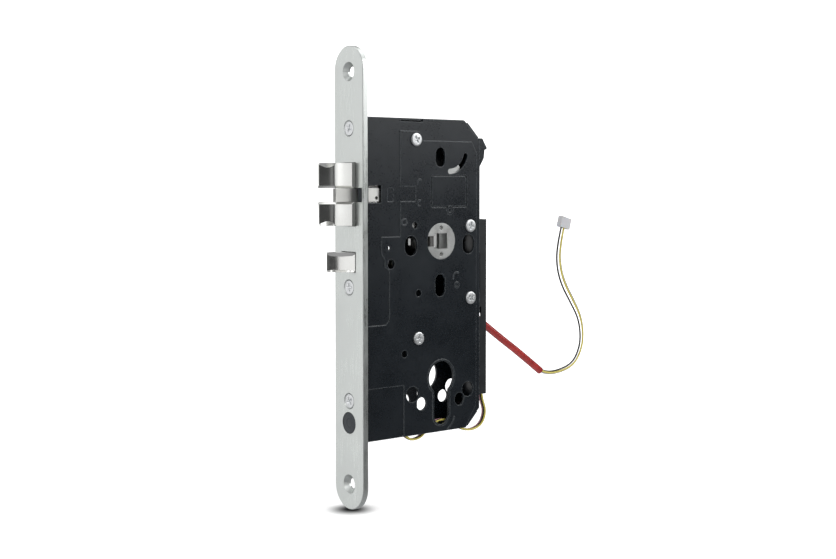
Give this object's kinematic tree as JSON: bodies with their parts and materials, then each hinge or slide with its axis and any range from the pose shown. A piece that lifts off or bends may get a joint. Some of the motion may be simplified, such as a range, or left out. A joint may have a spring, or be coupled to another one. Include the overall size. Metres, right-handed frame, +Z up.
{
  "type": "mortise lock",
  "caption": "Electromechanical euro-profile mortise lock with split cross latch, auxiliary latch, split follower, round-ended forend and a short rear connector lead.",
  "frame": {"origin": "centre of the forend's back face, midway between its two door-fixing holes", "axes": "+X into the door along the case, -Y towards the screwed cover, +Z up"},
  "size_m": [0.1865, 0.024, 0.235],
  "materials": {
    "satin_steel": "satin brushed",
    "zinc_screw": "bright zinc",
    "black_coat": "satin black",
    "guard_plastic": "matte",
    "dark_plastic": "matte",
    "polished_latch": "polished nickel",
    "satin_latch": "satin",
    "polished_aux": "polished nickel",
    "stamped_steel": "zinc plated",
    "cast_zinc": "as cast",
    "bright_pin": "ground",
    "clamp_steel": "oiled",
    "spring_steel": "drawn wire",
    "motor_can": "nickel plated",
    "gear_brass": "machined",
    "board_green": "solder mask",
    "component_black": "moulded",
    "sleeve_red": "glossy heat-shrink",
    "insulation_yellow": "semi-gloss",
    "insulation_black": "semi-gloss",
    "insulation_white": "semi-gloss",
    "insulation_pink": "semi-gloss",
    "connector_white": "moulded"
  },
  "bodies": {
    "case": {"forend_plate": "satin_steel", "forend_screws": "zinc_screw", "cylinder_screw_plug": "dark_plastic", "latch_glide": "dark_plastic", "case_base": "black_coat", "case_frame": "black_coat", "cover_posts": "stamped_steel", "forend_blocks": "stamped_steel", "spring_stops": "stamped_steel", "case_cover": "black_coat", "cover_screws": "zinc_screw", "pivot_pins": "bright_pin", "rear_wire_guard": "guard_plastic", "rear_wedge": "black_coat", "tail_guide_pin": "stamped_steel", "motor": "motor_can", "drive_bracket": "stamped_steel", "circuit_board": "board_green", "board_components": "component_black", "position_switches": "component_black", "latch_spring": "spring_steel", "aux_latch_spring": "spring_steel", "follower_spring": "spring_steel", "red_sleeve": "sleeve_red", "wire_yellow": "insulation_yellow", "wire_black": "insulation_black", "wire_white": "insulation_white", "lead_connector": "connector_white", "sensor_wire_yellow": "insulation_yellow", "sensor_wire_black": "insulation_black", "sensor_wire_pink": "insulation_pink"},
    "latch": {"latch_head": "polished_latch", "latch_tail": "stamped_steel", "counter_latch_spring": "spring_steel"},
    "counter_latch": {"counter_latch": "satin_latch"},
    "aux_latch": {"aux_latch": "polished_aux"},
    "deadlock_lever": {"deadlock_lever": "stamped_steel"},
    "inner_follower": {"inner_follower_hub": "cast_zinc", "follower_cam": "stamped_steel", "follower_pins": "bright_pin", "spindle_clamp": "clamp_steel"},
    "outer_follower": {"outer_follower_hub": "cast_zinc"},
    "clutch_pin": {"clutch_pin": "bright_pin"},
    "key_lever": {"key_lever": "stamped_steel"},
    "privacy_lever": {"privacy_lever": "stamped_steel"},
    "motor_pinion": {"motor_pinion": "gear_brass"},
    "drive_screw": {"drive_screw": "gear_brass"},
    "clutch_slider": {"clutch_slider": "stamped_steel"}
  },
  "joints": [
    {"name": "inner_follower_turn", "type": "hinge", "parent": "case", "child": "inner_follower", "pos_m": [0.052, 0, 0.018], "axis": [0, 1, 0], "range_deg": [0, 40], "deforming": ["follower_spring"]},
    {"name": "latch_slide", "type": "slide", "parent": "case", "child": "latch", "axis": [1, 0, 0], "range_m": [0, 0.015], "stiffness_N_per_m": 250, "springref_m": -0.01, "deforming": ["latch_spring"]},
    {"name": "counter_latch_slide", "type": "slide", "parent": "latch", "child": "counter_latch", "axis": [1, 0, 0], "range_m": [0, 0.01], "stiffness_N_per_m": 150, "springref_m": -0.006, "deforming": ["counter_latch_spring"]},
    {"name": "aux_latch_slide", "type": "slide", "parent": "case", "child": "aux_latch", "axis": [1, 0, 0], "range_m": [0, 0.0095], "stiffness_N_per_m": 150, "springref_m": -0.006, "deforming": ["aux_latch_spring"]},
    {"name": "deadlock_lever_turn", "type": "hinge", "parent": "case", "child": "deadlock_lever", "pos_m": [0.0342, 0, 0.0267], "axis": [0, 1, 0], "range_deg": [-12.1, 0]},
    {"name": "outer_follower_turn", "type": "hinge", "parent": "case", "child": "outer_follower", "pos_m": [0.052, 0, 0.018], "axis": [0, 1, 0], "range_deg": [0, 40], "stiffness_Nm_per_rad": 0.2, "springref_deg": -17.19},
    {"name": "key_lever_turn", "type": "hinge", "parent": "case", "child": "key_lever", "pos_m": [0.066, 0, -0.026], "axis": [0, 1, 0], "range_deg": [-19.6, 0]},
    {"name": "privacy_lever_turn", "type": "hinge", "parent": "case", "child": "privacy_lever", "pos_m": [0.0579, 0, 0.0663], "axis": [0, 1, 0], "range_deg": [-40, 0]},
    {"name": "drive_screw_turn", "type": "hinge", "parent": "case", "child": "drive_screw", "pos_m": [0.024, 0, -0.014], "axis": [0, 0, 1], "range_deg": [0, 1134]},
    {"name": "motor_pinion_turn", "type": "hinge", "parent": "case", "child": "motor_pinion", "pos_m": [0.016, 0, -0.024], "axis": [0, 0, 1], "range_deg": [-1891, 0]},
    {"name": "clutch_slide", "type": "slide", "parent": "case", "child": "clutch_slider", "axis": [0, 0, 1], "range_m": [0, 0.0025]},
    {"name": "clutch_pin_slide", "type": "slide", "parent": "outer_follower", "child": "clutch_pin", "axis": [0, 0, 1], "range_m": [0, 0.00252], "stiffness_N_per_m": 0.01, "springref_m": 0.0666}
  ],
  "couplings": [
    {"joint": "inner_follower_turn", "follows": "latch_slide", "rad_per_m": 46.512},
    {"joint": "key_lever_turn", "follows": "latch_slide", "rad_per_m": -22.674},
    {"joint": "deadlock_lever_turn", "follows": "aux_latch_slide", "rad_per_m": -22.05},
    {"joint": "motor_pinion_turn", "follows": "clutch_slide", "rad_per_m": -13090},
    {"joint": "drive_screw_turn", "follows": "clutch_slide", "rad_per_m": 7854},
    {"joint": "clutch_pin_slide", "follows": "clutch_slide", "ratio": 1}
  ]
}
